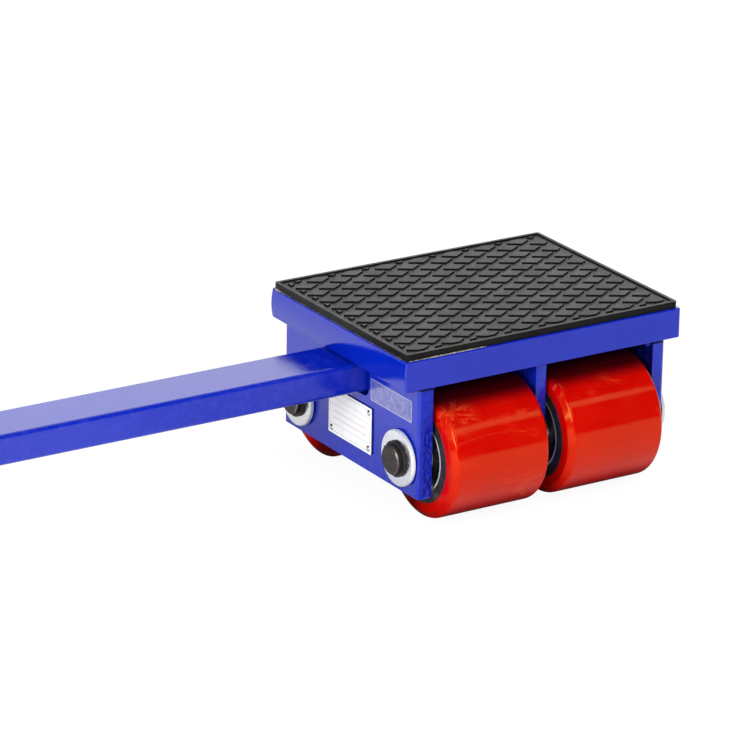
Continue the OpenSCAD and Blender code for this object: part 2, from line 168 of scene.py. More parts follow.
def red_tyre():
    """Cast polyurethane with scuffs. Painted shade, under the top plate and towards the middle, is set by
    place and doesn't turn with the roller.
    """
    m = Look("red_polyurethane")
    cloud = m.ramp(m.noise(30, 3), 0.3, 0.7)
    colour = m.mix(cloud, rgb(0.55, 0.0008, 0.0002), rgb(0.61, 0.0012, 0.0004))
    scuff = m.ramp(m.noise(45, 6, 0.75, 1.2, stretch=(0.4, 1, 1)), 0.56, 0.70)
    fleck = m.ramp(m.noise(900, 2), 0.70, 0.80)
    marks = m.math("MAXIMUM", m.math("MULTIPLY", scuff, 0.4), m.math("MULTIPLY", fleck, 0.2))
    offset = m.add("ShaderNodeVectorMath", {0: m.place, 1: RUBBED_SPOT}, operation="DISTANCE")
    patch = m.ramp(offset.outputs["Value"], RUBBED_INNER, RUBBED_OUTER, 1.0, 0.0)
    rubbed = m.ramp(m.noise(110, 7, 0.75, 1.5, stretch=(0.6, 1, 1)), 0.44, 0.60)
    marks = m.math("MAXIMUM", marks, m.math("MULTIPLY", m.math("MULTIPLY", patch, rubbed), 0.75))
    colour = m.mix(marks, colour, rgb(0.80, 0.05, 0.010))
    geometry = m.add("ShaderNodeNewGeometry").outputs
    where = m.split(geometry["Position"])
    sideways = m.math("ABSOLUTE", m.split(geometry["Normal"])["X"])
    # Painted shade: the tyres turn near black towards the top, under the top plate
    above = m.ramp(where["Z"], TYRE_SHADE_FROM, TYRE_SHADE_FULL, 0.0, 0.94)
    colour = m.mix(above, colour, rgb(0.012, 0.0, 0.0))
    # Painted shade: the tyres' sides darken towards y = 0, under the skate
    inner = m.ramp(m.math("ABSOLUTE", where["Y"]), TYRE_SIDE_SHADE_FULL, TYRE_SIDE_SHADE_END, 0.86, 0.0)
    inner = m.math("MULTIPLY", inner, m.ramp(sideways, 0.30, 0.80))
    colour = m.mix(inner, colour, rgb(0.020, 0.0, 0.0))
    shine = m.ramp(sideways, 0.80, 0.95, 0.5, 0.12)
    rough = m.math("MULTIPLY_ADD", marks, 0.35, m.ramp(m.noise(60, 3), 0.3, 0.7, 0.09, 0.16))
    warm = rgb(1.0, 0.76, 0.20)
    m.set(Base_Color=colour, Roughness=rough, IOR=1.5, Specular_IOR_Level=shine, Specular_Tint=warm)
    return m.bump(
        (m.noise(120, 3), 0.3, 0.0002),
        (m.noise(700, 2, 0.6, stretch=(2.5, 1, 1)), 0.25, 0.00005),
    ).material


def grey_rubber(name, tone, gloss):
    """Moulded black rubber with a dry bloom and rubbed, slightly dusty tile tops. A lower tone and gloss
    make the copy with painted shade.
    """
    def toned(r, g, b):
        return rgb(r * tone, g * tone, b * tone)

    m = Look(name)
    cloud = m.ramp(m.noise(22, 4, 0.6), 0.3, 0.7)
    streak = m.ramp(m.noise(500, 3, 0.6, stretch=(0.25, 1, 1)), 0.35, 0.65)
    colour = m.mix(cloud, toned(0.011, 0.0098, 0.009), toned(0.017, 0.0155, 0.014))
    colour = m.mix(m.math("MULTIPLY", streak, 0.35), colour, toned(0.030, 0.028, 0.026))
    dust = m.ramp(m.noise(420, 3, 0.7), 0.56, 0.78)
    colour = m.mix(m.math("MULTIPLY", dust, 0.3 * tone), colour, rgb(0.07, 0.066, 0.060))
    rough = m.ramp(m.noise(80, 3), 0.3, 0.7, 0.45, 0.53)
    m.set(Base_Color=colour, Roughness=rough, IOR=1.5, Specular_IOR_Level=gloss)
    return m.bump((m.noise(420, 3), 0.3, 0.0001), (m.noise(2600, 2), 0.3, 0.00004)).material


def dried_glue():
    """Contact glue: pale at the rear left corner and along the front, dark olive along the left edge."""
    m = Look("dried_glue")
    tone = m.ramp(m.noise(420, 4, 0.7), 0.35, 0.65)
    pale = m.mix(tone, rgb(0.20, 0.17, 0.07), rgb(0.62, 0.58, 0.42))
    along = m.split(m.place)["Y"]
    at_rear, at_front = m.ramp(along, 0.060, 0.085), m.ramp(along, -0.0795, -0.0765, 1.0, 0.0)
    corners = m.math("MAXIMUM", at_rear, at_front)
    olive = m.mix(tone, rgb(0.035, 0.035, 0.020), rgb(0.11, 0.11, 0.06))
    colour = m.mix(corners, olive, pale)
    m.set(Base_Color=colour, Roughness=m.ramp(m.noise(700, 3), 0.3, 0.7, 0.22, 0.45), IOR=1.5)
    return m.bump((m.noise(900, 3), 0.4, 0.0001)).material


def metal(name, dark, light, rough, grain, strength, stretch=(1, 1, 1), metallic=1.0, specular=0.5):
    """Bare, plated or blackened steel with a fine grain and blotches; also the flat dark used as painted
    shade.
    """
    m = Look(name)
    blotch = m.ramp(m.noise(120, 4, 0.6), 0.3, 0.7)
    colour = m.mix(blotch, rgb(*dark), rgb(*light))
    spread = m.ramp(m.noise(300, 3, 0.6), 0.3, 0.7, rough * 0.8, rough * 1.25)
    m.set(Base_Color=colour, Roughness=spread, Metallic=metallic, IOR=1.5, Specular_IOR_Level=specular)
    return m.bump((m.noise(grain, 3, 0.6, stretch=stretch), strength, 0.0001)).material


def black_hub():
    """Black painted iron hub with a dry, slightly mottled surface."""
    m = Look("black_hub")
    blotch = m.ramp(m.noise(150, 4, 0.6), 0.3, 0.7)
    colour = m.mix(blotch, rgb(0.022, 0.020, 0.022), rgb(0.040, 0.037, 0.038))
    rough = m.ramp(m.noise(200, 3), 0.3, 0.7, 0.16, 0.26)
    m.set(Base_Color=colour, Roughness=rough, IOR=1.35)
    return m.bump((m.noise(300, 3, 0.6), 0.3, 0.0001)).material


def white_plate():
    """White printed aluminium rating plate: a thin frame and plain ruled fields, no words."""
    m = Look("rating_plate_print")
    _, y, z = m.split(m.place)
    low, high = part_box("rating_plate")
    middle = (low + high) / 2

    def band(coordinate, centre, half, soft=0.12):
        away = m.math("ABSOLUTE", m.math("SUBTRACT", coordinate, centre))
        return m.ramp(away, half * MM, (half + soft) * MM, 1.0, 0.0)

    def level(at, half, across, reach):
        return m.math("MULTIPLY", band(z, middle.z + at * MM, half), band(y, middle.y + across * MM, reach))

    def upright(at, half, up, reach):
        return m.math("MULTIPLY", band(y, middle.y + at * MM, half), band(z, middle.z + up * MM, reach))

    def join(parts):
        total = parts[0]
        for part in parts[1:]:
            total = m.math("MAXIMUM", total, part)
        return total

    # All in millimetres from the plate's middle; wide and tall are the printed frame's half sizes
    wide, tall, frame_line, field_line = 24.2, 13.9, 0.10, 0.08
    ink = join([
        *(level(at, frame_line, 0, wide) for at in (tall, -tall)),
        *(upright(at, frame_line, 0, tall) for at in (wide, -wide)),
        *(level(at, field_line, 0, wide) for at in (9.0, 4.6, -8.6)),
        upright(-6.0, field_line, 9.25, 4.65),
        upright(9.0, field_line, -11.25, 2.65),
    ])
    red = join([level(at, 0.35, 0, 19.5) for at in (0.2, -4.2)])
    cloud = m.ramp(m.noise(70, 3), 0.3, 0.7)
    colour = m.mix(cloud, rgb(0.92, 0.93, 0.90), rgb(0.95, 0.96, 0.92))
    grime = m.ramp(m.noise(260, 5, 0.7), 0.60, 0.80)
    colour = m.mix(m.math("MULTIPLY", grime, 0.12), colour, rgb(0.55, 0.55, 0.52))
    worn = m.ramp(m.noise(600, 3, 0.7), 0.30, 0.50, 0.35, 1.0)
    for lines, strength, shade in ((ink, 0.55, rgb(0.12, 0.13, 0.14)), (red, 0.40, rgb(0.60, 0.14, 0.16))):
        colour = m.mix(m.math("MULTIPLY", m.math("MULTIPLY", lines, worn), strength), colour, shade)
    m.set(Base_Color=colour, Roughness=m.ramp(m.noise(90, 3), 0.3, 0.7, 0.28, 0.42), IOR=1.5)
    return m.bump((m.noise(900, 2), 0.15, 0.00005)).material


def film():
    """Milky, blotchy protective film on the paint, with a paler border and nothing printed inside."""
    m = Look("clear_film")
    _, y, z = m.split(m.place)
    low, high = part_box("blank_sticker")
    half, middle = (high - low) / 2, (low + high) / 2
    rims = [
        m.ramp(m.math("ABSOLUTE", m.math("SUBTRACT", at, centre)), reach - 0.9 * MM, reach - 0.6 * MM)
        for at, centre, reach in ((y, middle.y, half.y), (z, middle.z, half.z))
    ]
    rim = m.math("MAXIMUM", *rims)
    cloud = m.ramp(m.noise(260, 8, 0.85, 0.8), 0.38, 0.66)
    colour = m.mix(cloud, rgb(0.04, 0.06, 0.34), rgb(0.21, 0.22, 0.49))
    colour = m.mix(m.math("MULTIPLY", rim, 0.6), colour, rgb(0.42, 0.43, 0.72))
    m.set(Base_Color=colour, Roughness=m.ramp(m.noise(400, 3), 0.3, 0.7, 0.08, 0.20), IOR=1.9)
    return m.bump((m.noise(260, 3), 0.5, 0.0001), (m.noise(900, 2), 0.4, 0.00004)).material


PAINT = blue_paint("blue_enamel", 1.0, 0.5)
# Darker, duller copy with torch-cut pits for the left plate's ends: the pits are real, the darker tone and
# lower gloss are painted shade
CUT_PAINT_AND_SHADE = blue_paint("blue_enamel_on_cut_shaded", 0.90, 0.25, 0.8)
# Near-black copy for the side plates' inner faces: painted shade
INNER_SHADE_PAINT = blue_paint("blue_enamel_painted_shade_inside", 0.15, 0.3)
TYRE = red_tyre()
RUBBER = grey_rubber("grey_rubber", 1.0, 0.3)
# Darker, duller copy for the pad's walls and sides: painted shade
RUBBER_SIDE_SHADE = grey_rubber("grey_rubber_side_shade", 0.35, 0.15)
HUB = black_hub()
GLUE = dried_glue()
ZINC = metal("zinc_plating", (0.75, 0.77, 0.78), (0.83, 0.85, 0.86), 0.24, 500, 0.05)
ZINC_RIM = metal("zinc_rim", (0.80, 0.82, 0.84), (0.90, 0.92, 0.94), 0.5, 500, 0.2, metallic=0.2)
STEEL = metal("ground_steel", (0.52, 0.52, 0.53), (0.66, 0.66, 0.66), 0.20, 900, 0.15, (0.2, 1, 1))
OXIDE = metal(
    "black_oxide", (0.018, 0.014, 0.013), (0.036, 0.029, 0.026), 0.45, 700, 0.3, metallic=0.2, specular=0.3,
)
# Pale, half-diffuse ring at the hubs' chamfered mouths: bare metal, brightened as a painted highlight
BARE_AND_HIGHLIGHT = metal("bare_ring_and_highlight", (0.80, 0.76, 0.66), (0.95, 0.92, 0.84), 0.38, 700, 0.2, metallic=0.4)
EDGE = metal("bare_edge", (0.05, 0.043, 0.04), (0.26, 0.24, 0.21), 0.42, 900, 0.3)
CAGE = metal("cage_steel", (0.55, 0.50, 0.38), (0.68, 0.62, 0.48), 0.3, 700, 0.2)
SEAL = metal("seal_rubber", (0.012, 0.012, 0.012), (0.026, 0.026, 0.026), 0.5, 900, 0.3, metallic=0.0)
LABEL = white_plate()
FILM = film()
# Flat dark for painted shade: the slit under the top plate, the washers' backs by the plate and the rating
# plate's edges
PAINTED_SHADE = metal("painted_shade_dark", (0.012, 0.012, 0.05), (0.03, 0.03, 0.09), 0.4, 700, 0.2, metallic=0.0)


# Mesh helpers


def from_cad(node):
    """A working copy of a CAD node's mesh: welded, with flat neighbours joined into one face."""
    bm = bmesh.new()
    bm.from_mesh(NODES[node].data)
    bmesh.ops.remove_doubles(bm, verts=bm.verts, dist=1e-6)
    bmesh.ops.dissolve_limit(bm, angle_limit=radians(0.4), verts=bm.verts, edges=bm.edges)
    bm.normal_update()
    return bm


def bevel(bm, width, segments=2, angle=30.0, keep=None, convex_only=False):
    """Rounds the sharp edges and marks what it adds with the attribute wear."""
    layer = bm.verts.layers.float.get("wear") or bm.verts.layers.float.new("wear")
    edges = [
        e for e in bm.edges
        if len(e.link_faces) == 2 and e.calc_face_angle(0) > radians(angle)
        and (not convex_only or e.is_convex) and (keep is None or keep(e))
    ]
    done = bmesh.ops.bevel(
        bm, geom=edges, offset=width, offset_type="OFFSET", segments=segments, profile=0.5,
        affect="EDGES", clamp_overlap=True, loop_slide=True,
    )
    for f in done["faces"]:
        for v in f.verts:
            v[layer] = 1.0
    return bm


def flat_normals(mesh, limit):
    """Weighs each corner's normal by area: wide flat faces shade flat and only bevels shade round."""
    around = {}
    for f in mesh.polygons:
        for v in f.vertices:
            around.setdefault(v, []).append((f.normal.copy(), f.area))
    normals = []
    for f in mesh.polygons:
        for v in f.vertices:
            total = Vector((0, 0, 0))
            for normal, area in around[v]:
                if normal.dot(f.normal) > limit:
                    total += normal * area
            normals.append(total.normalized())
    mesh.normals_split_custom_set(normals)


def piece(name, bm, material, body, replaces=(), smooth=35.0, materials=()):
    """Turns a bmesh into a finished piece of the object."""
    mesh = bpy.data.meshes.new(name)
    bmesh.ops.recalc_face_normals(bm, faces=bm.faces)
    bm.to_mesh(mesh)
    bm.free()
    for m in (material, *materials):
        mesh.materials.append(m)
    mesh.shade_smooth()
    mesh.set_sharp_from_angle(angle=radians(smooth))
    flat_normals(mesh, cos(radians(smooth)))
    obj = bpy.data.objects.new(name, mesh)
    SCENE.collection.objects.link(obj)
    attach(obj, body)
    if replaces:
        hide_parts(*replaces)


def dress(node, material):
    """Gives a CAD node that stays in view a detailed material."""
    materials = NODES[node].data.materials
    for k in range(len(materials)):
        materials[k] = material
    if not materials:
        materials.append(material)


def rounded(points, radii, steps):
    """Rounds the corners of a 2-D outline, each by at most half of its sides."""
    out = []
    count = len(points)
    most = 0.49
    for i, r in enumerate(radii):
        a, b, c = (Vector(points[(i + k) % count]) for k in (-1, 0, 1))
        if not r:
            out.append(tuple(b))
            continue
        u, v = (a - b).normalized(), (c - b).normalized()
        half = u.angle(v) / 2
        reach = min(r / tan(half), most * (a - b).length, most * (c - b).length)
        r = reach * tan(half)
        centre = b + (u + v).normalized() * (r / sin(half))
        start, end = b + u * reach - centre, b + v * reach - centre
        turn = start.angle_signed(end)
        for k in range(steps + 1):
            q = start.copy()
            q.rotate(Matrix.Rotation(-turn * k / steps, 2))
            out.append(tuple(centre + q))
    return out


def skin(bm, here, there):
    """Joins two rings of equally many points with four-sided faces."""
    count = len(here)
    return [
        bm.faces.new((here[i], here[(i + 1) % count], there[(i + 1) % count], there[i]))
        for i in range(count)
    ]


def capped_tube(bm, rings):
    """Joins each ring to the next and closes both ends."""
    for here, there in zip(rings, rings[1:]):
        skin(bm, here, there)
    bm.faces.new(rings[0])
    bm.faces.new(list(reversed(rings[-1])))


def lathe(bm, outline, centre, turns):
    """Adds a body of revolution about X: outline is a closed loop of (x, radius) in metres."""
    rings = []
    for k in range(turns):
        a = 2 * pi * k / turns
        rings.append([
            bm.verts.new((centre[0] + x, centre[1] + r * cos(a), centre[2] + r * sin(a)))
            for x, r in outline
        ])
    return [face for k in range(turns) for face in skin(bm, rings[k], rings[(k + 1) % turns])]


def solids(node):
    """The corner points of each separate solid of a CAD node, from left to right and front to rear."""
    source = from_cad(node)
    found = []
    rest = set(source.verts)
    while rest:
        stack, island = [rest.pop()], set()
        while stack:
            v = stack.pop()
            island.add(v)
            for e in v.link_edges:
                w = e.other_vert(v)
                if w in rest:
                    rest.remove(w)
                    stack.append(w)
        found.append([v.co.copy() for v in island])
    source.free()
    return sorted(found, key=lambda ps: (round(min(p.x for p in ps), 6), min(p.y for p in ps)))


def extent(points):
    """The lowest corner, the highest corner and the middle of some points."""
    low, high = (Vector([pick(p[k] for p in points) for k in range(3)]) for pick in (min, max))
    return low, high, (low + high) / 2


def box_of(node):
    low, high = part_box(node)
    return low, high, (low + high) / 2


def disc_size(node):
    """Half the width and the radius of a round node that turns about X."""
    low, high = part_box(node)
    return (high.x - low.x) / 2, (high.z - low.z) / 2


def radius_at(point, middle):
    """A point's distance from the line along X through the middle."""
    return hypot(point.y - middle.y, point.z - middle.z)


def noisy(point, scale, seed=0.0):
    return noise.noise(Vector(point) * scale + Vector((seed, 2 * seed, 3 * seed)))


def clamp(value):
    return max(0.0, min(1.0, value))


def planes(axis, low, high, parts):
    """The planes that cut the stretch from low to high on an axis into equal parts."""
    normal = Vector((0, 0, 0))
    normal[axis] = 1
    return [(normal * (low + k * (high - low) / parts), normal) for k in range(1, parts)]


def cut_along(bm, geom, point, normal):
    """Adds edges where the plane crosses the geometry and removes nothing."""
    bmesh.ops.bisect_plane(bm, geom=geom, dist=1e-7, plane_co=point, plane_no=normal)


def whole(bm):
    return [*bm.faces, *bm.edges, *bm.verts]


# Plates


SLIT_HEIGHT, SLIT_DEPTH = 1.2 * MM, 3.6 * MM       # the gap above the side plates' ends
BURNT_SHARE = 0.67                                 # how far up the ends are torch-cut
BURNT_DEPTH = 0.75 * MM
PLAIN, SLIT, CUT, INNER = range(4)                 # an upright plate's material slots; the slit and inner ones hold painted shade


def flame_cut(bm, low_z, high_z, depth):
    """Roughens the end faces of an upright plate as a cutting torch leaves them, never outwards."""
    bm.normal_update()
    for side in (-1, 1):
        ends = [f for f in bm.faces if f.normal.y * side > 0.99 and f.calc_area() > 20e-6]
        reach = max(f.calc_center_median().y * side for f in ends)

        def end_faces():
            return [f for f in bm.faces if abs(f.calc_center_median().y * side - reach) < 1e-6]

        low, high, _ = extent([v.co for f in end_faces() for v in f.verts])
        for point, normal in planes(X, low.x, high.x, 10) + planes(Z, low.z, high.z, 90):
            faces = end_faces()
            edges, verts = {e for f in faces for e in f.edges}, {v for f in faces for v in f.verts}
            cut_along(bm, [*faces, *edges, *verts], point, normal)
        for v in {v for f in end_faces() for v in f.verts}:
            # The cut fades out towards the face's border and above the burnt part
            inner_x = min(v.co.x - low.x, high.x - v.co.x) / (1.8 * MM)
            inner_z = min(v.co.z - low.z, high.z - v.co.z) / (3 * MM)
            inner = clamp(min(inner_x, inner_z))
            burnt = clamp(min((high_z - v.co.z) / (5 * MM), (v.co.z - low_z) / (2 * MM)))
            place = (v.co.x, v.co.y, 0.5 * v.co.z)
            lump = noisy(place, 480, 3.0 * side) + 0.6 * noisy(place, 1000, 7.0)
            drag = noisy((v.co.x * 0.5, 0, v.co.z * 2.2), 500, 11.0)
            v.co.y -= side * depth * inner * burnt * clamp(0.35 + 1.1 * lump + 0.4 * drag)


def open_corner(bm, low, high):
    """Cuts the upper corners of a plate's ends back, which leaves the black slit under the top plate."""
    cut_along(bm, whole(bm), (0, 0, high.z - SLIT_HEIGHT), (0, 0, 1))
    for v in bm.verts:
        if v.co.z > high.z - 1e-6:
            v.co.y = max(low.y + SLIT_DEPTH, min(high.y - SLIT_DEPTH, v.co.y))
    bmesh.ops.remove_doubles(bm, verts=bm.verts, dist=1e-6)


def rolled_edge(bm, front, rear, reach=4 * MM):
    """Makes the plate's left face slightly convex, as rolled edges are: depths at its front and rear."""
    low, high, _ = extent([v.co for v in bm.verts])
    for point, normal in planes(Z, low.z, high.z, 12) + planes(Y, low.y, high.y, 12):
        cut_along(bm, whole(bm), point, normal)
    for v in bm.verts:
        near = 1 - (v.co.x - low.x) / reach
        if near > 0:
            up = (v.co.z - low.z) / (high.z - low.z)
            back = (v.co.y - low.y) / (high.y - low.y)
            v.co.x += near * (front + (rear - front) * back * back) * (2 * up - 1) ** 2


def lies_at(edge, axis, at):
    """Whether both ends of an edge have the given coordinate on an axis."""
    return all(abs(v.co[axis] - at) < 1e-5 for v in edge.verts)


def side_plate_slot(face, low, high, middle):
    """Picks the slit's painted shade, the left plate's torch-cut ends, the inner side's painted shade or
    plain paint.
    """
    at, normal = face.calc_center_median(), face.normal
    # Painted shade on the faces of the slit under the top plate
    in_slit = at.z > high.z - SLIT_HEIGHT - 0.1 * MM and abs(at.y) > high.y - SLIT_DEPTH - 0.1 * MM
    if in_slit and abs(normal.x) < 0.5:
        return SLIT
    # The left plate's ends: torch-cut pits, with partly painted shade in the darker copy
    if middle.x < 0 and abs(normal.y) > 0.3 and abs(at.y) > high.y - 1 * MM and at.z > low.z + 1.5 * MM:
        return CUT
    # Painted shade on the inner faces
    if normal.x * middle.x < 0 and abs(normal.x) > 0.9:
        return INNER
    return PLAIN


def upright_plate(node):
    low, high, middle = box_of(node)
    shape = from_cad(node)
    on_side = node != "centre_plate"
    if on_side:
        inner_x = high.x if middle.x < 0 else low.x

        def inner_foot(e):
            return lies_at(e, X, inner_x) and lies_at(e, Z, low.z)

        def inner_upright(e):
            return lies_at(e, X, inner_x) and (lies_at(e, Y, low.y) or lies_at(e, Y, high.y))

        bevel(shape, 2.2 * MM, 5, keep=inner_foot)
        bevel(shape, 1.0 * MM, 2, keep=inner_upright)
        open_corner(shape, low, high)
    bevel(shape, 0.5 * MM, 2, angle=50, keep=lambda e: e.calc_length() > 0.45 * MM)
    flame_cut(shape, low.z, low.z + BURNT_SHARE * (high.z - low.z), BURNT_DEPTH)
    shape.normal_update()
    for f in shape.faces:
        f.material_index = side_plate_slot(f, low, high, middle) if on_side else PLAIN
    piece(
        f"{node}_body", shape, PAINT, "frame", [node],
        materials=[PAINTED_SHADE, CUT_PAINT_AND_SHADE, INNER_SHADE_PAINT],
    )


def plates():
    top = from_cad("top_plate")
    rolled_edge(top, 0.6 * MM, 1.4 * MM)
    bevel(top, 0.9 * MM, 3, keep=lambda e: abs(e.verts[0].co.z - e.verts[1].co.z) < 1e-6)
    piece("top_plate_body", top, PAINT, "frame", ["top_plate"])
    for node in ("left_side_plate", "right_side_plate", "centre_plate"):
        upright_plate(node)


# Welds, pad and glue


WELD_STEP, WELD_RIPPLE, WELD_ROOT = 0.35 * MM, 2.4 * MM, 0.3 * MM
WELD_POINTS = 9


def weld_profile(size):
    """A bulging fillet's face from the top plate round to the upright plate, as (distance, drop)."""
    for j in range(WELD_POINTS):
        a = j / (WELD_POINTS - 1) * pi / 2
        share = a / (pi / 2)
        bulge = 0.80 + 0.13 * sin(2 * a)
        out, down = size * cos(a) ** bulge, size * sin(a) ** bulge
        yield out * 0.78 + 0.22 * size * (1 - share), down * 0.78 + 0.22 * size * share


def welds():
    """Rippled fillet beads inside the places of the plain CAD ones."""
    bm = bmesh.new()
    for n, points in enumerate(solids("weld_beads")):
        low, high, _ = extent(points)
        deep = [p for p in points if p.z < low.z + 1e-6]
        facing = 1 if abs(deep[0].x - low.x) < 1e-6 else -1
        corner = low.x if facing > 0 else high.x
        leg, length = high.z - low.z, high.y - low.y
        steps = int(length / WELD_STEP)
        rings = []
        for k in range(steps + 1):
            t = k / steps
            y = low.y + t * length
            phase = (y / WELD_RIPPLE + 0.25 * noisy((0, y, n), 120)) % 1.0
            swell = 0.90 + 0.10 * sqrt(max(0.0, 1 - (2 * phase - 1) ** 2))
            taper = min(1.0, 0.55 + min(t, 1 - t) * length / (3 * MM))
            size = min(leg, leg * swell * taper * (1 + 0.05 * noisy((n, y, 0), 90)))
            ring = [bm.verts.new((corner - facing * WELD_ROOT, y, high.z + WELD_ROOT))]
            for out, down in weld_profile(size):
                ring.append(bm.verts.new((corner + facing * out, y, high.z - down)))
            rings.append(ring)
        capped_tube(bm, rings)
    layer = bm.verts.layers.float.new("wear")
    for v in bm.verts:
        v[layer] = 0.2
    piece("weld_beads_rippled", bm, PAINT, "frame", ["weld_beads"], smooth=50)


def pad():
    shape = bevel(from_cad("anti_slip_pad"), 0.14 * MM, 2, convex_only=True)
    shape.normal_update()
    for f in shape.faces:
        # Faces that don't face up take the copy with painted shade
        f.material_index = 0 if f.normal.z > 0.6 else 1
    piece(
        "anti_slip_pad_moulded", shape, RUBBER, "frame", ["anti_slip_pad"], smooth=50,
        materials=[RUBBER_SIDE_SHADE],
    )


GLUE_STEP, GLUE_LEAST, GLUE_UNDER = 0.5 * MM, 0.02 * MM, 0.5 * MM
GLUE_WIDTH, GLUE_HEIGHT = 0.9 * MM, 0.55 * MM        # where the bead's body is 1
GLUE_POINTS = 6


def glue():
    """Thin, uneven beads of dried glue under the pad's left edge and the left end of its front edge."""
    low, high, _ = box_of("anti_slip_pad")
    bm = bmesh.new()
    runs = [
        ((low.x, high.y - 1 * MM), (low.x, low.y + 1.5 * MM), (-1, 0)),
        ((low.x + 1.5 * MM, low.y), (low.x + 60 * MM, low.y), (0, -1)),
    ]
    for n, (start, end, out) in enumerate(runs):
        start, end, out = Vector(start), Vector(end), Vector(out)
        steps = int((end - start).length / GLUE_STEP)
        rings = []
        for k in range(steps + 1):
            t = k / steps
            at = start.lerp(end, t)
            ends = min(1.0, 60 * t, 30 * (1 - t))
            body = 0.45 + 0.55 * noisy((at.x, at.y, n), 190, 5.0) + 0.3 * noisy((at.x, at.y, n), 700, 2.0)
            body = max(0.06, body) + (0.2 + 1.9 * max(0.0, 1 - 16 * t) if n == 0 else 0.15)
            wide, tall = (full * body * ends + GLUE_LEAST for full in (GLUE_WIDTH, GLUE_HEIGHT))
            ring = []
            for j in range(GLUE_POINTS):
                a = j / (GLUE_POINTS - 1) * pi / 2
                p = at + out * (wide * cos(a))
                ring.append(bm.verts.new((p.x, p.y, low.z + tall * sin(a))))
            back = at - out * GLUE_UNDER
            ring += [bm.verts.new((back.x, back.y, low.z + z)) for z in (tall, 0)]
            rings.append(ring)
        capped_tube(bm, rings)
    piece("pad_glue_bead", bm, GLUE, "frame", smooth=60)


# Rollers


BEARING_WIDTH, HUB_CORE_RADIUS = 14 * MM, 20 * MM
SEAT_PLAY, SEAT_CHAMFER, HUB_LIP = 0.03 * MM, 1 * MM, 2.3 * MM      # the lip is measured from the seat
TYRE_TAPER = (0.3 * MM, 4.5 * MM)                  # in from the hub's face, and below the tread
TYRE_SHOULDER = 3.5 * MM


def mirrored(half, radii, steps):
    """Mirrors half an outline about x = 0 and rounds all its corners."""
    return rounded(half + [(-x, q) for x, q in reversed(half)], radii + radii[::-1], steps)


def tyre(corner, middle, hub_half, hub_r):
    r = disc_size(f"{corner}_tyre")[1]
    taper_in, taper_down = TYRE_TAPER
    side = [(hub_half, hub_r), (hub_half - taper_in, r - taper_down), (hub_half - TYRE_SHOULDER, r)]
    shape = bmesh.new()
    lathe(shape, mirrored(side, [0.3 * MM, 1.0 * MM, 2.5 * MM], 6), middle, 192)
    piece(f"{corner}_tyre_cast", shape, TYRE, f"{corner}_roller", [f"{corner}_tyre"])


def hub(corner, middle, hub_half, hub_r):
    """The hub with its bearing seats and a pale ring at the chamfered mouth around each bearing: bare metal
    and a painted highlight.
    """
    bearing_low, bearing_high, _ = box_of(f"{corner}_bearing_outer_rings")
    seat_r = (bearing_high.z - bearing_low.z) / 2 + SEAT_PLAY
    seat_in = (bearing_high.x - middle.x) - BEARING_WIDTH
    half = [
        (seat_in, HUB_CORE_RADIUS), (seat_in, seat_r), (hub_half - SEAT_CHAMFER, seat_r),
        (hub_half, seat_r + SEAT_CHAMFER), (hub_half, seat_r + HUB_LIP), (hub_half, hub_r),
    ]
    outline = mirrored(half, [0, 0, 0.1 * MM, 0.3 * MM, 0, 0.4 * MM], 3)
    shape = bmesh.new()
    for face in lathe(shape, outline, middle, 160):
        at = face.calc_center_median()
        # The pale ring on each face: bare metal with a painted highlight
        in_ring = seat_r + 0.6 * MM < radius_at(at, middle) < seat_r + 2.2 * MM
        face.material_index = 1 if in_ring and abs(at.x - middle.x) > hub_half - 0.6 * MM else 0
    piece(
        f"{corner}_hub_machined", shape, HUB, f"{corner}_roller", [f"{corner}_hub"],
        materials=[BARE_AND_HIGHLIGHT],
    )


def rollers():
    inside = {
        "outer_rings": STEEL, "inner_rings": STEEL, "balls": STEEL,
        "cages": CAGE, "seals": SEAL, "sleeve": ZINC,
    }
    for corner in CORNERS:
        middle = box_of(f"{corner}_tyre")[2]
        hub_size = disc_size(f"{corner}_hub")
        tyre(corner, middle, *hub_size)
        hub(corner, middle, *hub_size)
        for part, material in inside.items():
            dress(f"{corner}_bearing_{part}", material)


# Axles, washers and rings


AXLE_CHAMFER = 0.9 * MM
AXLE_BRIGHT_FROM = 8.9 * MM                        # distance from the axle's own line


def axles():
    for node in ("front_axle", "rear_axle"):
        high, middle = box_of(node)[1:]
        shape = bevel(from_cad(node), 0.2 * MM, 2)
        shape.normal_update()
        for f in shape.faces:
            at = f.calc_center_median()
            at_end = abs(at.x - middle.x) > high.x - middle.x - AXLE_CHAMFER
            f.material_index = 1 if at_end and radius_at(at, middle) > AXLE_BRIGHT_FROM else 0
        piece(f"{node}_turned", shape, OXIDE, "frame", [node], materials=[EDGE])


def washers():
    shape = bmesh.new()
    for points in solids("axle_washers"):
        low, high, middle = extent(points)
        bore = min(radius_at(p, middle) for p in points)
        half, r = (high.x - low.x) / 2, (high.z - low.z) / 2
        corners = [(half, bore), (half, r), (-half, r), (-half, bore)]
        lathe(shape, rounded(corners, [0.3 * MM, 0.9 * MM, 0.9 * MM, 0.3 * MM], 5), middle, 128)
    shape.normal_update()
    nearest = min(abs(v.co.x) for v in shape.verts)
    for f in shape.faces:
        # Painted contact shadow: the back rounding next to the plate is dark
        contact_shadow = abs(f.calc_center_median().x) < nearest + 0.8 * MM and abs(f.normal.x) < 0.95
        f.material_index = 2 if contact_shadow else 0 if abs(f.normal.x) > 0.8 else 1
    piece(
        "axle_washers_stamped", shape, ZINC, "frame", ["axle_washers"],
        materials=[ZINC_RIM, PAINTED_SHADE],
    )


def rings():
    shape = bevel(from_cad("axle_circlips"), 0.12 * MM, 1, keep=lambda e: e.calc_length() > 0.3 * MM)
    piece("axle_circlips_pressed", shape, OXIDE, "frame", ["axle_circlips"])
    dress("axle_spacers", ZINC)


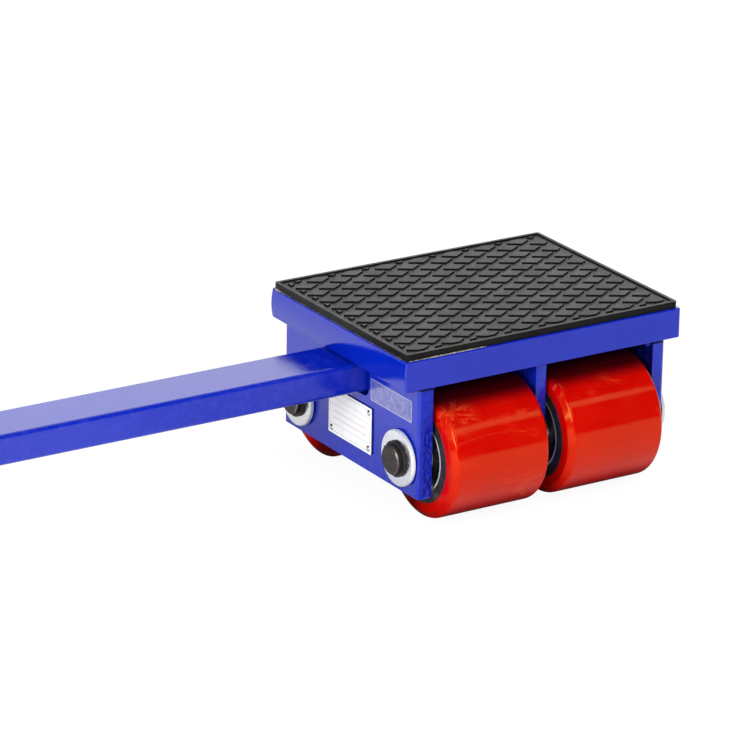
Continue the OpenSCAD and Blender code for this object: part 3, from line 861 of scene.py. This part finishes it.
# Rating plate, rivets, sticker and tie bar


def labels():
    plate = bevel(from_cad("rating_plate"), 0.25 * MM, 2, keep=lambda e: e.calc_length() > 0.25 * MM)
    plate.normal_update()
    for f in plate.faces:
        # Painted shadow line: the plate's edges are dark
        f.material_index = 0 if f.normal.x < -0.7 else 1
    piece(
        "rating_plate_sheet", plate, LABEL, "frame", ["rating_plate"],
        materials=[PAINTED_SHADE],
    )
    dress("rating_plate_rivets", STEEL)
    piece("blank_sticker_film", from_cad("blank_sticker"), FILM, "frame", ["blank_sticker"])


def bar():
    shape = bevel(from_cad("tie_bar"), 0.35 * MM, 2, keep=lambda e: e.calc_length() > 0.2 * MM)
    piece("tie_bar_tube", shape, PAINT, "bar", ["tie_bar"])
    pins = bevel(from_cad("bar_stop_pins"), 0.5 * MM, 2)
    piece("bar_stop_pins_ground", pins, STEEL, "bar", ["bar_stop_pins"])


for build in (plates, welds, pad, glue, rollers, axles, washers, rings, labels, bar):
    build()


# Studio


FLOOR_REACH, FLOOR_DROP = 12.0, 0.0002           # the drop keeps the rollers from cutting into the floor
AXLE_LINE = 0.0615                               # distance of the rollers' lines of contact from y = 0
SOFTBOXES = (
    ("softbox_left", (-1.90, -0.90, 0.85), (0, 0, 0.05), (1.1, 0.9), 9.0),
    ("softbox_high", (0.1, -1.70, 1.50), (0, 0, 0.05), (1.0, 1.0), 2.2),
    ("softbox_top", (0.2, 0.3, 2.1), (0, 0, 0), (1.4, 1.4), 0.75),
    ("softbox_back", (1.4, 2.2, 0.98), (0, 0, 0.1), (2.0, 1.5), 0.9),
    ("softbox_front", (0.76, -1.01, 1.11), (0, -0.1, 0.07), (0.50, 0.20), 1.3),
)


class Studio(Nodes):
    """The tree of the floor's material or of the world, started empty."""

    def __init__(self, owner):
        super().__init__(owner)
        self.tree.nodes.clear()

    def mix_shader(self, fac, a, b):
        return self.add("ShaderNodeMixShader", {0: fac, 1: a, 2: b}).outputs[0]

    def surface(self, diffuse, glow):
        """A matt grey that also glows by itself."""
        shade = self.add("ShaderNodeBsdfDiffuse", {"Color": grey(diffuse)})
        shine = self.add("ShaderNodeEmission", {"Color": grey(1.0), "Strength": glow})
        return self.add("ShaderNodeAddShader", {0: shade.outputs[0], 1: shine.outputs[0]}).outputs[0]

    def sky(self, height, stops):
        """Grey levels by height, from straight down at 0 to straight up at 1."""
        made = self.add("ShaderNodeValToRGB", {0: height})
        made.color_ramp.interpolation = "EASE"
        while len(made.color_ramp.elements) < len(stops):
            made.color_ramp.elements.new(0.5)
        for element, (at, level) in zip(made.color_ramp.elements, stops):
            element.position = at
            element.color = grey(level)
        return made.outputs[0]


def floor_material():
    """White for the camera. For mirror and diffuse rays a painted shadow darkens it beside and under the
    rollers.
    """
    material = bpy.data.materials.new("studio_floor")
    t = Studio(material)
    where = t.split(t.add("ShaderNodeTexCoord").outputs["Object"])
    across = t.math("ABSOLUTE", t.math("SUBTRACT", t.math("ABSOLUTE", where["Y"]), AXLE_LINE))
    along = t.math("ABSOLUTE", where["X"])

    def away(y_low, y_high, x_low, x_high):
        return t.math("MAXIMUM", t.ramp(across, y_low, y_high), t.ramp(along, x_low, x_high))

    left = t.ramp(where["X"], -0.12, -0.20)
    path = t.add("ShaderNodeLightPath").outputs
    # Painted shadow for diffuse rays: near black beside and under the rollers
    plain = t.mix_shader(away(0.020, 0.060, 0.115, 0.180), t.surface(0.15, 0.0), t.surface(0.95, 0.0))
    open_floor = t.mix_shader(left, t.surface(0.85, 0.05), t.surface(0.90, 0.38))
    # Painted shadow for mirror rays, in a tighter band round the rollers
    deep = t.mix_shader(away(0.022, 0.042, 0.096, 0.114), t.surface(0.10, 0.0), open_floor)
    clear = t.math("MAXIMUM", path["Is Camera Ray"], path["Is Transmission Ray"])
    mirrored = t.mix_shader(path["Is Glossy Ray"], plain, deep)
    seen = t.mix_shader(clear, mirrored, t.surface(0.12, 0.93))
    t.add("ShaderNodeOutputMaterial", {0: seen})
    return material


def studio_floor():
    mesh = bpy.data.meshes.new("studio_floor")
    corners = [(x * FLOOR_REACH, y * FLOOR_REACH, 0) for x, y in ((-1, -1), (1, -1), (1, 1), (-1, 1))]
    mesh.from_pydata(corners, [], [(0, 1, 2, 3)])
    floor = bpy.data.objects.new("studio_floor", mesh)
    SCENE.collection.objects.link(floor)
    floor.location.z = -FLOOR_DROP
    mesh.materials.append(floor_material())


def studio_world():
    """White for the camera. Glossy rays see white behind and to the right, and a dark room elsewhere."""
    world = bpy.data.worlds.new("studio")
    SCENE.world = world
    t = Studio(world)
    path = t.add("ShaderNodeLightPath").outputs
    where = t.split(t.add("ShaderNodeTexCoord").outputs["Generated"])
    behind, rightward = t.ramp(where["Y"], 0.04, 0.30), t.ramp(where["X"], -0.30, 0.05)
    backdrop = t.math("MULTIPLY", behind, rightward)
    room = t.sky(where["Z"], [(0.0, 0.015), (0.85, 0.015), (1.0, 0.3)])
    mirrored = t.mix(backdrop, room, grey(1.0))
    soft = t.sky(where["Z"], [(0.0, 0.80), (0.5, 0.85), (1.0, 0.30)])
    clear = t.math("MAXIMUM", path["Is Camera Ray"], path["Is Transmission Ray"])
    colour = t.mix(path["Is Glossy Ray"], soft, mirrored)
    colour = t.mix(clear, colour, grey(1.0))
    light = t.add("ShaderNodeBackground", {"Color": colour, "Strength": 1.0})
    t.add("ShaderNodeOutputWorld", {0: light.outputs[0]})


def softbox(name, at, aim, size, level):
    """A rectangular lamp whose face has the given radiance."""
    lamp = bpy.data.lights.new(name, "AREA")
    lamp.shape = "RECTANGLE"
    lamp.size, lamp.size_y = size
    lamp.energy = level * pi * size[0] * size[1]
    obj = bpy.data.objects.new(name, lamp)
    SCENE.collection.objects.link(obj)
    obj.visible_camera = False
    obj.location = at
    obj.rotation_euler = (Vector(aim) - Vector(at)).to_track_quat("-Z", "Y").to_euler()


# The camera as fitted to the photo


PHOTO_PIXELS, FOCAL_PIXELS, SENSOR_MM = 750, 4449, 36
AZIMUTH, ELEVATION, ROLL = radians(-32.41), radians(20.39), radians(0.957)
AIM = (0, 0, 0.11394)
DISTANCE, SHIFT_LEFT, SHIFT_DOWN = 2.8784, 0.06461, 0.04988


def camera():
    back = Vector((sin(AZIMUTH) * cos(ELEVATION), -cos(AZIMUTH) * cos(ELEVATION), sin(ELEVATION)))
    right = Vector((cos(AZIMUTH), sin(AZIMUTH), 0))
    up = back.cross(right)
    right, up = cos(ROLL) * right + sin(ROLL) * up, cos(ROLL) * up - sin(ROLL) * right
    at = Vector(AIM) + DISTANCE * back - SHIFT_LEFT * right - SHIFT_DOWN * up
    lens = bpy.data.cameras.new("photo_camera")
    lens.sensor_width = SENSOR_MM
    lens.lens = SENSOR_MM * FOCAL_PIXELS / PHOTO_PIXELS
    lens.clip_end = 60
    obj = bpy.data.objects.new("photo_camera", lens)
    SCENE.collection.objects.link(obj)
    obj.matrix_world = Matrix((
        (right.x, up.x, back.x, at.x),
        (right.y, up.y, back.y, at.y),
        (right.z, up.z, back.z, at.z),
        (0, 0, 0, 1),
    ))
    SCENE.camera = obj


studio_floor()
studio_world()
for box in SOFTBOXES:
    softbox(*box)
camera()
SCENE.view_settings.view_transform = "Standard"
